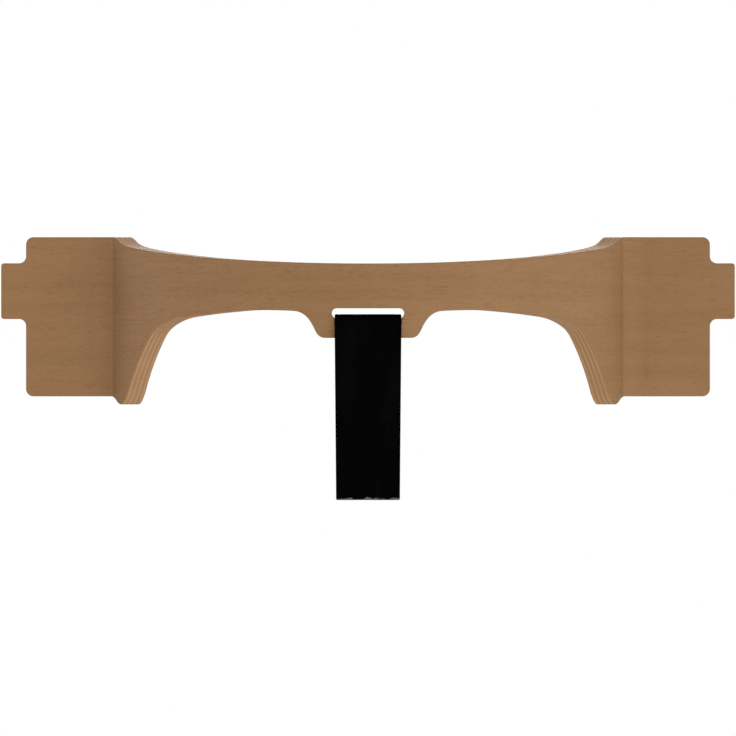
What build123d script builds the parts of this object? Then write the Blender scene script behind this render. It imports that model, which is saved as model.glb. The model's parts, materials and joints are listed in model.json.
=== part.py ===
from build123d import *

import os
from math import asin, cos, degrees, radians, sin, sqrt, tan

# High-chair front guard: a bar of bent laminated wood with a crotch strap through its lug.
# Frame: X across the chair, +Z up, -Y away from the child. The origin is midway between the
# two end tabs, at mid-thickness of the board. All sizes are in millimetres.

# Board and its plan
shoulder_width = 392.6  # over the two end plates, without the tabs
face_veneer = 0.75
core_ply = 1.5
core_plies = 7
bow_radius = 158.0  # front surface of the bow
bow_angle = 66.0  # half the bow, in degrees
bend_radius = 14.4  # front surface of the bend between plate and bow

# End plates and tabs
plate_rise = 31.0  # above the tab's centre
plate_drop = 60.4  # below the tab's centre
plate_corner = 4.3
tab_length = 14.3
tab_height = 32.0
tab_corner = 1.7
tab_root = 4.0

# Outline of the bow, as distances along its front surface from the middle, and heights
crest_height = 15.4  # top edge at the middle
crest_sweep = 1370.0  # radius of the top edge
roof_height = -9.3  # the thigh cut-outs' upper edge, carried to the middle
roof_sweep = 1200.0  # radius of the cut-outs' upper edge
step_start = 165.0  # the top edge's rise to the plates
step_middle = (178.0, 28.2)
step_end = 188.0
roof_start = 57.0
roof_end = 117.0
leg_haunch = (131.1, -18.1)  # where the leg rounds into the bow
leg_top = (144.3, -26.6)  # straight inner edge of the leg
leg_bottom = (167.7, -58.6)
nose = (176.5, -65.0)  # lowest point of the leg
lug_half_width = 24.3  # flat of the lug's lower edge
lug_side = (30.8, -21.4)
lug_haunch = (34.4, -15.1)  # where the lug rounds into the bow
lug_bottom = -27.0
edge_round = 0.6

# Strap slot in the lug
slot_side_clearance = 1.6  # beside the strap
slot_height = 5.5
slot_floor = -15.6
lip_radius = 6.5  # the rounded lip that the strap hangs on
lip_side_margin = 0.3
lip_arc = 12.0  # degrees of the bow, more than the strap takes

# Strap
strap_width = 38.0
strap_thickness = 1.6
strap_bottom = -119.4
lip_clearance = 0.6  # between the lip and the strap that hangs over it
loop_radius = 7.8  # inside of the strap over the rail
fold_radius = 2.4  # inside of the lower fold
lap_start = 30.0  # along the back of the loop, from the lower fold
lap_length = 30.0
lap_gap = 0.1
jog_length = 8.0
jog_radius = 8.0

# Stitching of the lap
stitch_length = 2.6
stitch_width = 0.7
stitch_height = 0.4
stitches_per_row = 9
stitches_per_column = 6
stitch_inset = 4.0

board = 2 * face_veneer + core_plies * core_ply
overall_width = shoulder_width + 2 * tab_length
slot_width = strap_width + 2 * slot_side_clearance
turn = radians(bow_angle)
bend_x = (bow_radius + bend_radius) * sin(turn)
bend_y = -board / 2 - bend_radius
bow_y = bend_y + (bow_radius + bend_radius) * cos(turn)
through = 2 * overall_width  # longer than any cut has to be
least_skin = 300.0  # area that tells the board's surfaces from its fillets


def crest(along):
    """Height of the top edge at a distance along the bow."""
    return crest_height + crest_sweep - sqrt(crest_sweep**2 - along**2)


def roof(along):
    """Height of the thigh cut-outs' upper edge at a distance along the bow."""
    return roof_height - roof_sweep + sqrt(roof_sweep**2 - along**2)


def slope(height, along):
    """Direction of a swept edge, from its height at two neighbouring places."""
    return (1, height(along + 0.5) - height(along - 0.5))


def fan_plane(reach):
    """Upright plane across the bow, at a distance in front of the bow's axis."""
    return Plane(origin=(0, bow_y - reach, 0), x_dir=(1, 0, 0), z_dir=(0, -1, 0))


# The outline is cut square to the board, so its cutters fan out from the bow's axis: each is
# a ruled loft between the same outline on two upright planes, widened with the distance.
near_reach = 30.0
far_reach = bow_radius + 20
fan_limit = radians(76)  # past the ends of the bow, clear of the upright planes' infinity
cut_depth = 20.0  # how far the cutters stand past the board's edges


def fan(reach, along, height):
    """Point of the outline on the upright plane at a reach."""
    return (reach * tan(along / bow_radius), height)


def fan_direction(reach, along, direction):
    """Direction of the outline on the upright plane at a reach."""
    widening = reach / bow_radius / cos(along / bow_radius) ** 2
    return (direction[0] * widening, direction[1])


def fan_curve(reach, points, start, end):
    """Smooth edge through points of the outline, with its two end directions."""
    placed = [fan(reach, along, height) for along, height in points]
    first = fan_direction(reach, points[0][0], start)
    last = fan_direction(reach, points[-1][0], end)
    return Spline(*placed, tangents=[first, last])


def swept_points(height, start, end, count):
    """Points of a swept edge at even distances along the bow."""
    spacing = (end - start) / (count - 1)
    return [(start + i * spacing, height(start + i * spacing)) for i in range(count)]


leg_direction = (leg_bottom[0] - leg_top[0], leg_bottom[1] - leg_top[1])
lug_direction = (0.39, 0.92)

# Everything above the bow's top edge
with BuildPart() as crest_cutter:
    for reach in (near_reach, far_reach):
        with BuildSketch(fan_plane(reach)):
            with BuildLine():
                fan_curve(reach, swept_points(crest, 0, step_start, 5), (1, 0), slope(crest, step_start))
                rise = [(step_start, crest(step_start)), step_middle, (step_end, plate_rise)]
                fan_curve(reach, rise, slope(crest, step_start), (1, 0))
                top = plate_rise + cut_depth
                corner = fan(reach, step_end, top)
                Line(fan(reach, step_end, plate_rise), corner)
                Line(corner, (0, top))
                Line((0, top), (0, crest(0)))
            make_face()
    loft(ruled=True)
    mirror(about=Plane.YZ)

# The thigh cut-outs, with everything below the lug between them
with BuildPart() as leg_cutter:
    for reach in (near_reach, far_reach):
        with BuildSketch(fan_plane(reach)):
            with BuildLine():
                Line((0, lug_bottom), fan(reach, lug_half_width, lug_bottom))
                fan_curve(reach, [(lug_half_width, lug_bottom), lug_side], (1, 0), lug_direction)
                shoulder = [lug_side, lug_haunch, (roof_start, roof(roof_start))]
                fan_curve(reach, shoulder, lug_direction, slope(roof, roof_start))
                fan_curve(
                    reach,
                    swept_points(roof, roof_start, roof_end, 4),
                    slope(roof, roof_start),
                    slope(roof, roof_end),
                )
                haunch = [(roof_end, roof(roof_end)), leg_haunch, leg_top]
                fan_curve(reach, haunch, slope(roof, roof_end), leg_direction)
                Line(fan(reach, *leg_top), fan(reach, *leg_bottom))
                fan_curve(reach, [leg_bottom, nose], leg_direction, (1, 0))
                bottom = nose[1] - cut_depth
                corner = fan(reach, nose[0], bottom)
                Line(fan(reach, *nose), corner)
                Line(corner, (0, bottom))
                Line((0, bottom), (0, lug_bottom))
            make_face()
    loft(ruled=True)
    mirror(about=Plane.YZ)

# The step from each leg's nose up to the plate's lower edge
with BuildPart() as nose_cutter:
    for reach in (near_reach, far_reach):
        with BuildSketch(fan_plane(reach)):
            with BuildLine():
                fan_curve(reach, [nose, (step_end, -plate_drop)], (1, 0), (1, 0))
                outer = reach * tan(fan_limit)
                bottom = nose[1] - cut_depth
                Line(fan(reach, step_end, -plate_drop), (outer, -plate_drop))
                Line((outer, -plate_drop), (outer, bottom))
                Line((outer, bottom), fan(reach, nose[0], bottom))
                Line(fan(reach, nose[0], bottom), fan(reach, *nose))
            make_face()
    loft(ruled=True)
    mirror(about=Plane.YZ)

# Round-over of the slot's lower lip, following the bow
with BuildPart() as lip_cutter:
    with BuildSketch(Plane.YZ):
        with Locations((bow_y - bow_radius + board / 2, slot_floor - lip_radius)):
            Rectangle(board + 4, lip_radius + slot_height / 2, align=(Align.CENTER, Align.MIN))
            Circle(lip_radius, mode=Mode.SUBTRACT)
    revolve(axis=Axis((0, bow_y, 0), (0, 0, 1)), revolution_arc=lip_arc)
    mirror(about=Plane.YZ)
    with BuildSketch(Plane.XZ):
        with Locations((0, slot_floor)):
            Rectangle(strap_width + 2 * lip_side_margin, 4 * lip_radius)
    extrude(amount=through, both=True, mode=Mode.INTERSECT)


def board_plan(front, back):
    """Plan of the board between two depths below its front surface."""
    with BuildSketch() as plan:
        with BuildLine():
            for depth in (front, back):
                face = bend_y + bend_radius + depth
                CenterArc((0, bow_y), bow_radius - depth, -90, bow_angle)
                CenterArc((bend_x, bend_y), bend_radius + depth, 90 + bow_angle, -bow_angle)
                Line((bend_x, face), (overall_width / 2, face))
            Line((0, bow_y - bow_radius + front), (0, bow_y - bow_radius + back))
            tip = overall_width / 2
            Line((tip, bend_y + bend_radius + front), (tip, bend_y + bend_radius + back))
        make_face()
        mirror(about=Plane.YZ)
    return plan.sketch


def outline_edges(faces):
    """Edges round the board's front and back surfaces, without the seams across them."""
    bends = faces.filter_by(GeomType.CYLINDER).filter_by(lambda f: f.area > least_skin)
    flats = faces.filter_by(Axis.Y).filter_by(lambda f: f.area > least_skin)
    rims = ShapeList()
    for face in bends + flats:
        rims += face.outer_wire().edges()
    uprights = rims.filter_by(GeomType.LINE).filter_by(Axis.Z)
    seams = uprights.filter_by(lambda e: abs(e.center().X) < bend_x + 1)
    return ShapeList([e for e in rims if e not in seams])


# The whole bar, cut to outline
with BuildPart() as bar:
    with BuildSketch(Plane.XY.offset(nose[1])):
        add(board_plan(0, board))
    extrude(amount=plate_rise - nose[1])
    with BuildSketch(Plane.XZ) as ends:
        with Locations((0, (plate_rise - plate_drop) / 2)):
            Rectangle(shoulder_width, plate_rise + plate_drop)
        fillet(ends.vertices(), plate_corner)
        Rectangle(overall_width, tab_height)
        tips = ends.vertices().group_by(Axis.X)
        fillet(tips[0] + tips[-1], tab_corner)
        roots = [v for v in ends.vertices() if abs(abs(v.X) - shoulder_width / 2) < 0.01]
        roots = [v for v in roots if abs(abs(v.Y) - tab_height / 2) < 0.01]
        fillet(roots, tab_root)
        with Locations((0, nose[1])):
            Rectangle(2 * bend_x, tab_height, align=(Align.CENTER, Align.MIN))
    extrude(amount=through, both=True, mode=Mode.INTERSECT)
    add(crest_cutter.part, mode=Mode.SUBTRACT)
    add(leg_cutter.part, mode=Mode.SUBTRACT)
    add(nose_cutter.part, mode=Mode.SUBTRACT)
    with BuildSketch(Plane.XZ):
        with Locations((0, slot_floor + slot_height / 2)):
            SlotOverall(slot_width, slot_height)
    extrude(amount=through, mode=Mode.SUBTRACT)
    add(lip_cutter.part, mode=Mode.SUBTRACT)
    fillet(outline_edges(bar.faces()), edge_round)

# The bar's plies, from the front surface to the back: each is the bar between two depths
layers = [("front_face_veneer", face_veneer)]
layers += [(f"core_ply_{i + 1}", core_ply) for i in range(core_plies)]
layers += [("back_face_veneer", face_veneer)]
os.makedirs("parts", exist_ok=True)

depth = 0.0
for name, thickness in layers:
    with BuildPart() as ply:
        with BuildSketch(Plane.XY.offset(nose[1])):
            add(board_plan(depth, depth + thickness))
        extrude(amount=plate_rise - nose[1])
        add(bar.part, mode=Mode.INTERSECT)
    ply.part.label = name
    export_step(ply.part, f"parts/{name}.step")
    depth += thickness

# Strap: one strip on edge, round the rail and the lower fold, its ends lapped on the back.
# The lip curves with the bow, so the pivot is halfway between its depths over the strap.
hang_y = bow_y - sqrt((bow_radius - board / 2) ** 2 - strap_width**2 / 8)
hang_z = slot_floor + lip_clearance - loop_radius
loop_mid = loop_radius + strap_thickness / 2
fold_mid = fold_radius + strap_thickness / 2
fold_z = strap_bottom + fold_mid + strap_thickness / 2
lean = asin((loop_mid - fold_mid) / (hang_z - fold_z))  # of each leg from upright
leg_length = (hang_z - fold_z) * cos(lean)


def back_leg(along, out=0.0):
    """Point on the strap's back leg, from its length above the fold and how far it lies out."""
    reach = fold_mid + out
    return (
        hang_y + reach * cos(lean) + along * sin(lean),
        fold_z - reach * sin(lean) + along * cos(lean),
    )


lap_offset = strap_thickness + lap_gap
lap_jog = lap_start - jog_length - lap_offset
start = back_leg(lap_start)
with BuildPart() as strap:
    with BuildLine(Plane.YZ) as strap_line:
        Line(start, back_leg(leg_length))
        swing = degrees(lean)
        CenterArc((hang_y, hang_z), loop_mid, -swing, 180 + 2 * swing)
        front_top = (hang_y - loop_mid * cos(lean), hang_z - loop_mid * sin(lean))
        front_foot = (hang_y - fold_mid * cos(lean), fold_z - fold_mid * sin(lean))
        Line(front_top, front_foot)
        CenterArc((hang_y, fold_z), fold_mid, 180 + swing, 180 - 2 * swing)
        jog = [
            back_leg(0),
            back_leg(lap_jog),
            back_leg(lap_jog + jog_length, lap_offset),
            back_leg(lap_start + lap_length, lap_offset),
        ]
        FilletPolyline(*jog, radius=jog_radius)
    up_leg = (0, sin(lean), cos(lean))
    with BuildSketch(Plane(origin=(0, *start), x_dir=(1, 0, 0), z_dir=up_leg)):
        Rectangle(strap_width, strap_thickness)
    sweep(path=strap_line.wire())
strap.part.label = "crotch_strap"
export_step(strap.part, "parts/crotch_strap.step")

# Box of stitches through the lap, showing on both faces
box_width = strap_width - 2 * stitch_inset
box_height = lap_length - 2 * stitch_inset
lap_middle = lap_start + lap_length / 2
outward = (0, cos(lean), -sin(lean))
inward = (0, -cos(lean), sin(lean))
faces = [(lap_offset + strap_thickness / 2, outward), (-strap_thickness / 2, inward)]
with BuildPart() as stitching:
    for out, normal in faces:
        origin = (0, *back_leg(lap_middle, out))
        with BuildSketch(Plane(origin=origin, x_dir=(1, 0, 0), z_dir=normal)):
            row_pitch = box_width / stitches_per_row
            with GridLocations(row_pitch, box_height, stitches_per_row, 2):
                SlotOverall(stitch_length, stitch_width)
            column_pitch = box_height / stitches_per_column
            with GridLocations(box_width, column_pitch, 2, stitches_per_column):
                SlotOverall(stitch_length, stitch_width, rotation=90)
        extrude(amount=stitch_height)
stitching.part.label = "lap_stitching"
export_step(stitching.part, "parts/lap_stitching.step")
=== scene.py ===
import json
import math

import bmesh
import bpy
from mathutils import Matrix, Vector, noise


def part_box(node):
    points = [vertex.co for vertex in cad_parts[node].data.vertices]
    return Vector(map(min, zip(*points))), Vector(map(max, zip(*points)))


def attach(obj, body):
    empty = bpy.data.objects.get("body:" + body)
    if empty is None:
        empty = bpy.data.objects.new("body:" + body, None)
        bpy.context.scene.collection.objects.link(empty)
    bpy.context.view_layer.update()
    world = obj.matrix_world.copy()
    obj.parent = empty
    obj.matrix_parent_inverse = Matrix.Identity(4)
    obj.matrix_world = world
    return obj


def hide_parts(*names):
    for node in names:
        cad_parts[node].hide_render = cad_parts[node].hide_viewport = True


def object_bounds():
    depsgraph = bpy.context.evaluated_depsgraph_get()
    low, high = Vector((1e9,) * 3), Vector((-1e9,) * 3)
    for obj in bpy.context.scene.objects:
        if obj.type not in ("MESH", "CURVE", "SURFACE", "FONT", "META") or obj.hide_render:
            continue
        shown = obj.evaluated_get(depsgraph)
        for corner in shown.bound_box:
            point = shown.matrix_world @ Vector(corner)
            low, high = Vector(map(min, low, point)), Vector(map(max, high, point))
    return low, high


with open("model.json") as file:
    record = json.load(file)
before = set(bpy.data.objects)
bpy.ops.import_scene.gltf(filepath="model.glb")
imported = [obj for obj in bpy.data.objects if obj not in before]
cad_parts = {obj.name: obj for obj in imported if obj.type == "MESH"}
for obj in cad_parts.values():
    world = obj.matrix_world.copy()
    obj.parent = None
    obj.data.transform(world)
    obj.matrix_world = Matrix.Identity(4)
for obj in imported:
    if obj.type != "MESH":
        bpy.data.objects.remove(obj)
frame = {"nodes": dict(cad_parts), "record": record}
cad_low, cad_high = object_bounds()

# Everything is in metres, in the frame's own axes: X across the chair, Z up, the bow towards -Y.
CORE_NODES = [f"core_ply_{i}" for i in range(1, 8)]
PLY_NODES = ["front_face_veneer", *CORE_NODES, "back_face_veneer"]


# --- camera and light --------------------------------------------------------------------

VIEW_WIDTH = 0.4227  # what the picture shows across, at the object
VIEW_HEIGHT = -0.0441  # the camera looks level at this height
CAMERA_DISTANCE = 12.0  # a long lens, so that the view is nearly parallel
SENSOR = 36.0  # millimetres

SEEN_WORLD = 1.0
LIGHTING_WORLD = 0.5
LIGHT_DISTANCE = 12.0
LIGHT_SIZE = 6.0
SOFTBOXES = {  # name: azimuth and elevation in degrees, power in watts
    "key_right": (55, 15, 190.0),
    "front": (18, 12, 255.0),
    "side_left": (-97, 8, 605.0),
    "side_right": (95, 8, 395.0),
    "top": (0, 80, 330.0),
    "below": (0, -50, 770.0),
    "low_right": (40, -25, 305.0),
    "back": (165, 20, 750.0),
}


def make_camera():
    data = bpy.data.cameras.new("camera")
    data.sensor_width = SENSOR
    data.lens = SENSOR * CAMERA_DISTANCE / VIEW_WIDTH
    data.clip_end = 100.0
    camera = bpy.data.objects.new("camera", data)
    camera.location = (0.0, -CAMERA_DISTANCE, VIEW_HEIGHT)
    camera.rotation_euler = (math.pi / 2, 0.0, 0.0)
    bpy.context.collection.objects.link(camera)
    bpy.context.scene.camera = camera


def add_softbox(name, azimuth, elevation, power):
    """A square soft light that faces the object from an azimuth, 0 being the camera's side."""
    data = bpy.data.lights.new(name, "AREA")
    data.shape = "SQUARE"
    data.size = LIGHT_SIZE
    data.energy = power
    light = bpy.data.objects.new(name, data)
    a, e = math.radians(azimuth), math.radians(elevation)
    away = Vector((math.sin(a) * math.cos(e), -math.cos(a) * math.cos(e), math.sin(e)))
    light.location = away * LIGHT_DISTANCE
    light.rotation_mode = "QUATERNION"
    light.rotation_quaternion = away.to_track_quat("Z", "Y")
    bpy.context.collection.objects.link(light)


def make_world(seen, light):
    """A white surround for the camera, and a dimmer one that lights the object."""
    world = bpy.data.worlds.new("studio")
    world.use_nodes = True
    bpy.context.scene.world = world
    nodes, links = world.node_tree.nodes, world.node_tree.links
    nodes.clear()
    path = nodes.new("ShaderNodeLightPath")
    mix = nodes.new("ShaderNodeMixShader")
    output = nodes.new("ShaderNodeOutputWorld")
    for socket, strength in ((1, light), (2, seen)):
        background = nodes.new("ShaderNodeBackground")
        background.inputs["Color"].default_value = (1.0, 1.0, 1.0, 1.0)
        background.inputs["Strength"].default_value = strength
        links.new(background.outputs[0], mix.inputs[socket])
    links.new(path.outputs["Is Camera Ray"], mix.inputs[0])
    links.new(mix.outputs[0], output.inputs["Surface"])


# --- materials ---------------------------------------------------------------------------


def new_material(name, colour, roughness):
    material = bpy.data.materials.new(name)
    material.use_nodes = True
    shader = material.node_tree.nodes["Principled BSDF"]
    shader.inputs["Base Color"].default_value = (*colour, 1.0)
    shader.inputs["Roughness"].default_value = roughness
    return material, shader


class Nodes:
    """Short calls for the nodes that the materials are built from."""

    def __init__(self, material):
        self.tree = material.node_tree
        self.place = self.tree.nodes.new("ShaderNodeTexCoord").outputs["Object"]

    def link(self, source, target):
        self.tree.links.new(source, target)

    def stretched(self, scale, shift=(0.0, 0.0, 0.0)):
        node = self.tree.nodes.new("ShaderNodeMapping")
        node.inputs["Scale"].default_value = scale
        node.inputs["Location"].default_value = shift
        self.link(self.place, node.inputs["Vector"])
        return node.outputs["Vector"]

    def noise(self, place, detail=2.0, roughness=0.5, distortion=0.0):
        node = self.tree.nodes.new("ShaderNodeTexNoise")
        node.inputs["Scale"].default_value = 1.0
        node.inputs["Detail"].default_value = detail
        node.inputs["Roughness"].default_value = roughness
        node.inputs["Distortion"].default_value = distortion
        self.link(place, node.inputs["Vector"])
        return node.outputs["Fac"]

    def cells(self, place):
        node = self.tree.nodes.new("ShaderNodeTexVoronoi")
        node.inputs["Scale"].default_value = 1.0
        self.link(place, node.inputs["Vector"])
        return node.outputs["Distance"]

    def span(self, value, low, high, new_low=0.0, new_high=1.0):
        node = self.tree.nodes.new("ShaderNodeMapRange")
        node.interpolation_type = "SMOOTHSTEP"
        numbers = (("From Min", low), ("From Max", high), ("To Min", new_low), ("To Max", new_high))
        for name, number in numbers:
            node.inputs[name].default_value = number
        self.link(value, node.inputs["Value"])
        return node.outputs["Result"]

    def tint(self, colour, factor, tone):
        """The colour, shifted to a tone by a factor."""
        node = self.tree.nodes.new("ShaderNodeMix")
        node.data_type = "RGBA"
        self.link(factor, node.inputs["Factor"])
        if isinstance(colour, tuple):
            node.inputs["A"].default_value = (*colour, 1.0)
        else:
            self.link(colour, node.inputs["A"])
        node.inputs["B"].default_value = (*tone, 1.0)
        return node.outputs["Result"]

    def along(self, axis):
        split = self.tree.nodes.new("ShaderNodeSeparateXYZ")
        self.link(self.place, split.inputs[0])
        return split.outputs[axis]

    def calculate(self, operation, *terms):
        """One math node; each term is a socket or a number."""
        node = self.tree.nodes.new("ShaderNodeMath")
        node.operation = operation
        for socket, term in zip(node.inputs, terms):
            if isinstance(term, float):
                socket.default_value = term
            else:
                self.link(term, socket)
        return node.outputs["Value"]

    def stripe(self, across, half_width):
        """1 on an upright line at a distance to either side of the middle, 0 away from it."""
        side = self.calculate("ABSOLUTE", self.along("X"))
        gap = self.calculate("ABSOLUTE", self.calculate("SUBTRACT", side, across))
        return self.span(gap, half_width, 0.0)

    def sum(self, first, second, share):
        """The first and a share of the second."""
        return self.calculate("MULTIPLY_ADD", second, share, first)

    def bump(self, height, depth, shader):
        node = self.tree.nodes.new("ShaderNodeBump")
        node.inputs["Strength"].default_value = 1.0
        node.inputs["Distance"].default_value = depth
        self.link(height, node.inputs["Height"])
        self.link(node.outputs["Normal"], shader.inputs["Normal"])


# Painted shade: the front face gets a thin dark line along its crease, where it bends out of the end
# plates.
CREASE = 0.1457  # where the front face bends out of its end plates
CREASE_SHADE_HALF_WIDTH = 0.0014
CREASE_SHADE_STRENGTH = 0.32
WOOD_RELIEF = 0.00005


def wood(name, base, dark, pale, pore, seed, pore_share=1.0, crease=None):
    """Matt wood whose grain runs level along the board and so follows its bends."""
    material, shader = new_material(name, base, 0.6)
    shader.inputs["Specular IOR Level"].default_value = 0.12
    nodes = Nodes(material)
    bands = nodes.noise(nodes.stretched((5.0, 5.0, 90.0), (seed, 0, 0)), 3.0, 0.55, 0.6)
    fibres = nodes.noise(nodes.stretched((26.0, 26.0, 1500.0), (0, seed, 0)), 2.0, 0.6)
    pores = nodes.noise(nodes.stretched((190.0, 190.0, 4200.0), (0, 0, seed)), 1.0, 0.5)
    clouds = nodes.noise(nodes.stretched((14.0, 14.0, 22.0), (seed, seed, 0)), 2.0, 0.5)
    colour = nodes.tint(base, nodes.span(bands, 0.35, 0.75, 0.0, 0.55), dark)
    colour = nodes.tint(colour, nodes.span(clouds, 0.4, 0.8, 0.0, 0.35), pale)
    colour = nodes.tint(colour, nodes.span(fibres, 0.5, 0.72, 0.0, 0.4), dark)
    colour = nodes.tint(colour, nodes.span(pores, 0.6, 0.74, 0.0, 0.55 * pore_share), pore)
    if crease is not None:  # painted shade: a dark line where the board bends out of its end plates, standing in for the shade in the crease
        crease_shade = nodes.calculate("MULTIPLY", nodes.stripe(crease, CREASE_SHADE_HALF_WIDTH), CREASE_SHADE_STRENGTH)
        colour = nodes.tint(colour, crease_shade, pore)
    nodes.link(colour, shader.inputs["Base Color"])
    nodes.link(nodes.span(fibres, 0.3, 0.7, 0.54, 0.68), shader.inputs["Roughness"])
    relief = nodes.sum(nodes.span(pores, 0.58, 0.72, 1.0, 0.0), fibres, 0.4)
    nodes.bump(relief, WOOD_RELIEF, shader)
    return material


LEATHER_BLACK = (0.0008, 0.0008, 0.0008)
LEATHER_WORN = (0.0018, 0.0017, 0.0016)
LEATHER_RELIEF = 0.00012
LOW_EDGE_SEED = 3.0
LOW_EDGE_WANDER = 0.005  # how far the top of the grey band at the lower fold wanders
LOW_EDGE_BLUR = 0.0006
LOW_EDGE_GREY = (0.1, 0.098, 0.094)
THREAD_BLACK = (0.006, 0.006, 0.006)
THREAD_PALE = (0.014, 0.014, 0.014)
THREAD_RELIEF = 0.00008


def leather():
    material, shader = new_material("black_leather", (0.0015, 0.0015, 0.0015), 0.8)
    shader.inputs["Specular IOR Level"].default_value = 0.008
    nodes = Nodes(material)
    pebbles = nodes.cells(nodes.stretched((1300.0, 1300.0, 1300.0)))
    creases = nodes.noise(nodes.stretched((420.0, 420.0, 420.0)), 4.0, 0.6, 0.4)
    wear = nodes.noise(nodes.stretched((60.0, 60.0, 24.0)), 3.0, 0.6)
    colour = nodes.tint(LEATHER_BLACK, nodes.span(wear, 0.45, 0.75), LEATHER_WORN)
    # The strap turns grey along its lowest edge, up to an uneven height.
    edge_grey_noise = nodes.noise(nodes.stretched((190.0, 190.0, 90.0), (LOW_EDGE_SEED, 0.0, 0.0)), 3.0, 0.6)
    edge_grey_level = nodes.sum(nodes.along("Z"), edge_grey_noise, -LOW_EDGE_WANDER)
    middle = cad_low.z - 0.25 * LOW_EDGE_WANDER
    colour = nodes.tint(colour, nodes.span(edge_grey_level, middle, middle - LOW_EDGE_BLUR), LOW_EDGE_GREY)
    nodes.link(colour, shader.inputs["Base Color"])
    nodes.link(nodes.span(wear, 0.3, 0.75, 0.85, 0.7), shader.inputs["Roughness"])
    nodes.bump(nodes.sum(pebbles, creases, 0.9), LEATHER_RELIEF, shader)
    return material


def thread():
    material, shader = new_material("black_thread", (0.008, 0.008, 0.008), 0.55)
    shader.inputs["Specular IOR Level"].default_value = 0.25
    nodes = Nodes(material)
    strands = nodes.noise(nodes.stretched((3000.0, 3000.0, 1800.0)), 2.0, 0.5, 1.0)
    colour = nodes.tint(THREAD_BLACK, nodes.span(strands, 0.4, 0.7), THREAD_PALE)
    nodes.link(colour, shader.inputs["Base Color"])
    nodes.bump(strands, THREAD_RELIEF, shader)
    return material


FACE_TONES = {
    "base": (0.252, 0.137, 0.0625),
    "dark": (0.215, 0.113, 0.049),
    "pale": (0.285, 0.16, 0.077),
    "pore": (0.145, 0.073, 0.03),
}
LONG_GRAIN_TONES = {
    "base": (0.345, 0.2, 0.103),
    "dark": (0.305, 0.17, 0.083),
    "pale": (0.385, 0.232, 0.125),
    "pore": (0.235, 0.127, 0.058),
}
CROSS_GRAIN_TONES = {
    "base": (0.278, 0.153, 0.075),
    "dark": (0.24, 0.127, 0.059),
    "pale": (0.31, 0.178, 0.091),
    "pore": (0.18, 0.095, 0.043),
}


def dress_plies():
    front = wood("face_wood_front", **FACE_TONES, seed=3.1, crease=CREASE)
    back = wood("face_wood_back", **FACE_TONES, seed=5.4)
    long_grain = wood("core_long", **LONG_GRAIN_TONES, seed=7.7, pore_share=0.6)
    cross_grain = wood("core_cross", **CROSS_GRAIN_TONES, seed=12.9, pore_share=0.9)
    cores = [cross_grain, long_grain]
    for number, name in enumerate(PLY_NODES):
        material = cores[number % 2]
        if name == PLY_NODES[0]:
            material = front
        elif name == PLY_NODES[-1]:
            material = back
        for slot in frame["nodes"][name].material_slots:
            slot.material = material


# --- strap -------------------------------------------------------------------------------

STRAP = 0.0016  # thickness
FOLD_RADIUS = 0.0032  # middle of the strap at its lower fold
LAP_START = 0.03  # along the back of the loop, from the lower fold
LAP_LENGTH = 0.03
LAP_OFFSET = STRAP + 0.0001
JOG_LENGTH = 0.008
JOG_STEPS = 8
STEP = 0.0012  # between rings of the strap's mesh
END_CORNER = 0.005  # radius at the strap's cut ends
TAPER = 0.0008  # each side, from the slot to the lower fold
GROOVE_INSET = 0.0024  # a pressed line beside each edge
GROOVE_HALF_WIDTH = 0.0004
GROOVE_DEPTH = 0.00018
EDGE_STEPS = 6
WAVE_HEIGHT = 0.00012  # unevenness of the leather's surface


class StrapLine:
    """The strap's middle line on the YZ plane: round the rail, down, and up to its lap."""

    def __init__(self):
        low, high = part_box("crotch_strap")
        pivot = frame["record"]["behaviour"]["joints"][0]["pos_m"]
        self.width = high.x - low.x
        self.top = Vector((pivot[1], pivot[2]))
        self.loop = high.z - pivot[2] - STRAP / 2
        self.fold = Vector((pivot[1], low.z + FOLD_RADIUS + STRAP / 2))
        gap = self.top.y - self.fold.y
        self.lean = math.asin((self.loop - FOLD_RADIUS) / gap)
        self.leg = gap * math.cos(self.lean)

    def back(self, along, out=0.0):
        reach = FOLD_RADIUS + out
        side = Vector((math.cos(self.lean), -math.sin(self.lean)))
        up = Vector((math.sin(self.lean), math.cos(self.lean)))
        return self.fold + side * reach + up * along

    def front(self, along):
        point = self.back(along)
        return Vector((2 * self.fold.x - point.x, point.y))

    def points(self):
        """Points at short steps from the inner end of the strap to the outer one."""
        run = [self.back(LAP_START), self.back(self.leg)]
        run += arc(self.top, self.loop, -self.lean, math.pi + self.lean)
        run += [self.front(self.leg), self.front(0.0)]
        run += arc(self.fold, FOLD_RADIUS, math.pi + self.lean, math.tau - self.lean)
        jog = LAP_START - JOG_LENGTH - LAP_OFFSET
        for i in range(JOG_STEPS + 1):
            share = i / JOG_STEPS
            ease = share * share * (3 - 2 * share)
            run.append(self.back(jog + share * JOG_LENGTH, ease * LAP_OFFSET))
        run.append(self.back(LAP_START + LAP_LENGTH, LAP_OFFSET))
        return resample(run, STEP)


def arc(centre, radius, start, end, count=24):
    """Points between an arc's two ends, without the ends."""
    turns = [start + (end - start) * i / count for i in range(1, count)]
    return [centre + radius * Vector((math.cos(t), math.sin(t))) for t in turns]


def resample(run, step):
    """The same line with points at an even step."""
    lengths = [0.0]
    for a, b in zip(run, run[1:]):
        lengths.append(lengths[-1] + (b - a).length)
    count = round(lengths[-1] / step)
    points, k = [], 0
    for i in range(count + 1):
        at = lengths[-1] * i / count
        while k < len(run) - 2 and lengths[k + 1] < at:
            k += 1
        share = (at - lengths[k]) / max(lengths[k + 1] - lengths[k], 1e-12)
        points.append(run[k].lerp(run[k + 1], min(share, 1.0)))
    return points


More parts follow.
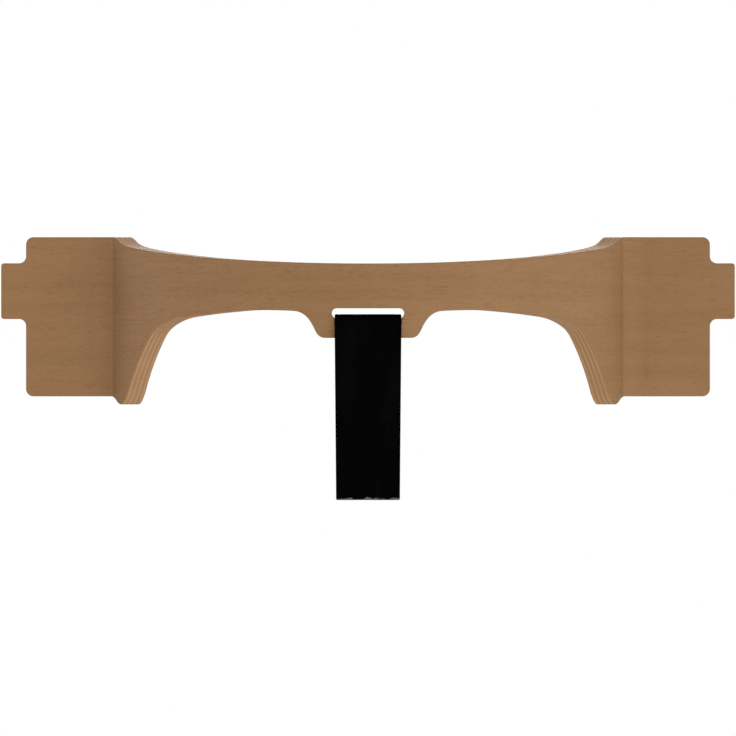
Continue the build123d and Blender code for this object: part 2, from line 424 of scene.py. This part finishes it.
def strap_section(half_width):
    """Outline of the strap across its length: (across, out) points, with rounded edges."""
    half = STRAP / 2
    groove = half_width - GROOVE_INSET
    outer = [(-half_width + half, half), (-groove - GROOVE_HALF_WIDTH, half)]
    outer += [(-groove, half - GROOVE_DEPTH), (-groove + GROOVE_HALF_WIDTH, half)]
    outer += [(-groove / 2, half), (0.0, half)]
    outer += [(-x, y) for x, y in reversed(outer[:-1])]
    edge = []
    for i in range(1, EDGE_STEPS):
        t = math.pi / 2 - math.pi * i / EDGE_STEPS
        edge.append((half_width - half + half * math.cos(t), half * math.sin(t)))
    inner = [(half_width - half, -half), (groove / 2, -half), (0.0, -half), (-groove / 2, -half)]
    inner += [(-half_width + half, -half)]
    other = [(-x, y) for x, y in reversed(edge)]
    return outer + edge + inner + other


def make_strap(line, material):
    """The strap, narrowing a little as it hangs, with rounded corners at both cut ends."""
    points = line.points()
    mesh = bmesh.new()
    rings = []
    count = len(points)
    for i, point in enumerate(points):
        before, after = points[max(i - 1, 0)], points[min(i + 1, count - 1)]
        along = (after - before).normalized()
        out = Vector((along.y, -along.x))
        hang = (line.top.y - point.y) / (line.top.y - line.fold.y)
        half_width = line.width / 2 - TAPER * min(max(hang, 0.0), 1.0)
        to_end = min(i, count - 1 - i) * STEP
        if to_end < END_CORNER:
            half_width -= END_CORNER - math.sqrt(END_CORNER**2 - (END_CORNER - to_end) ** 2)
        ring = []
        for across, lift in strap_section(half_width):
            wave = noise.noise(Vector((across * 60, point.y * 45, 3.0 + point.x * 30)))
            place = point + out * (lift + wave * WAVE_HEIGHT)
            ring.append(mesh.verts.new((across, place.x, place.y)))
        rings.append(ring)
    for a, b in zip(rings, rings[1:]):
        for k in range(len(a)):
            n = (k + 1) % len(a)
            mesh.faces.new((a[k], a[n], b[n], b[k]))
    mesh.faces.new(list(reversed(rings[0])))
    mesh.faces.new(rings[-1])
    bmesh.ops.recalc_face_normals(mesh, faces=mesh.faces)
    piece = new_piece("crotch_strap_leather", mesh, material)
    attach(piece, "strap")
    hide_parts("crotch_strap")


def new_piece(name, mesh, material):
    data = bpy.data.meshes.new(name)
    mesh.to_mesh(data)
    mesh.free()
    for face in data.polygons:
        face.use_smooth = True
    data.materials.append(material)
    piece = bpy.data.objects.new(name, data)
    bpy.context.collection.objects.link(piece)
    return piece


STITCH_LENGTH = 0.0027
STITCH_THICK = 0.00075
STITCH_RISE = 0.00038
STITCH_INSET = 0.004
STITCHES_ACROSS = 9
STITCHES_UP = 6
STITCH_SLANT = 0.09
STITCH_RINGS = 8
STITCH_SIDES = 8


def make_stitches(line, material):
    """The box of stitches through the lap, each one drawn into its two holes."""
    mesh = bmesh.new()
    side = Vector((0.0, math.cos(line.lean), -math.sin(line.lean)))
    up = Vector((0.0, math.sin(line.lean), math.cos(line.lean)))
    box_width = line.width - 2 * STITCH_INSET
    box_height = LAP_LENGTH - 2 * STITCH_INSET
    spots = []
    for row in (-1, 1):
        for i in range(STITCHES_ACROSS):
            x = box_width * ((i + 0.5) / STITCHES_ACROSS - 0.5)
            spots.append((x, row * box_height / 2, False))
    for column in (-1, 1):
        for i in range(STITCHES_UP):
            height = box_height * ((i + 0.5) / STITCHES_UP - 0.5)
            spots.append((column * box_width / 2, height, True))
    middle = LAP_START + LAP_LENGTH / 2
    for out, facing in ((LAP_OFFSET + STRAP / 2, 1), (-STRAP / 2, -1)):
        base = line.back(middle, out)
        for x, height, upright in spots:
            centre = Vector((x, base.x, base.y)) + up * height
            along = up if upright else Vector((1.0, 0.0, 0.0))
            across = Vector((1.0, 0.0, 0.0)) if upright else up
            slant = (along + across * STITCH_SLANT).normalized()
            add_stitch(mesh, centre, slant, side * facing)
    piece = new_piece("lap_thread", mesh, material)
    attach(piece, "strap")
    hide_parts("lap_stitching")


def add_stitch(mesh, centre, along, out):
    """One stitch: an arched strand, thickest in the middle."""
    across = along.cross(out).normalized()
    rings = []
    for i in range(STITCH_RINGS + 1):
        t = -1.0 + 2.0 * i / STITCH_RINGS
        swell = math.sqrt(max(1.0 - 0.92 * t * t, 0.02))
        middle = centre + along * (t * STITCH_LENGTH / 2) + out * (STITCH_RISE * 0.35 * swell)
        ring = []
        for k in range(STITCH_SIDES):
            turn = math.tau * k / STITCH_SIDES
            place = middle + across * (math.cos(turn) * STITCH_THICK / 2 * swell)
            ring.append(mesh.verts.new(place + out * (math.sin(turn) * STITCH_RISE * 0.6 * swell)))
        rings.append(ring)
    for a, b in zip(rings, rings[1:]):
        for k in range(STITCH_SIDES):
            n = (k + 1) % STITCH_SIDES
            mesh.faces.new((a[k], a[n], b[n], b[k]))
    mesh.faces.new(list(reversed(rings[0])))
    mesh.faces.new(rings[-1])
    bmesh.ops.recalc_face_normals(mesh, faces=mesh.faces)


make_camera()
make_world(seen=SEEN_WORLD, light=LIGHTING_WORLD)
for softbox, (turn, rise, watts) in SOFTBOXES.items():
    add_softbox(softbox, turn, rise, watts)
dress_plies()
strap_line = StrapLine()
make_strap(strap_line, leather())
make_stitches(strap_line, thread())
bpy.context.scene.view_settings.view_transform = "Standard"
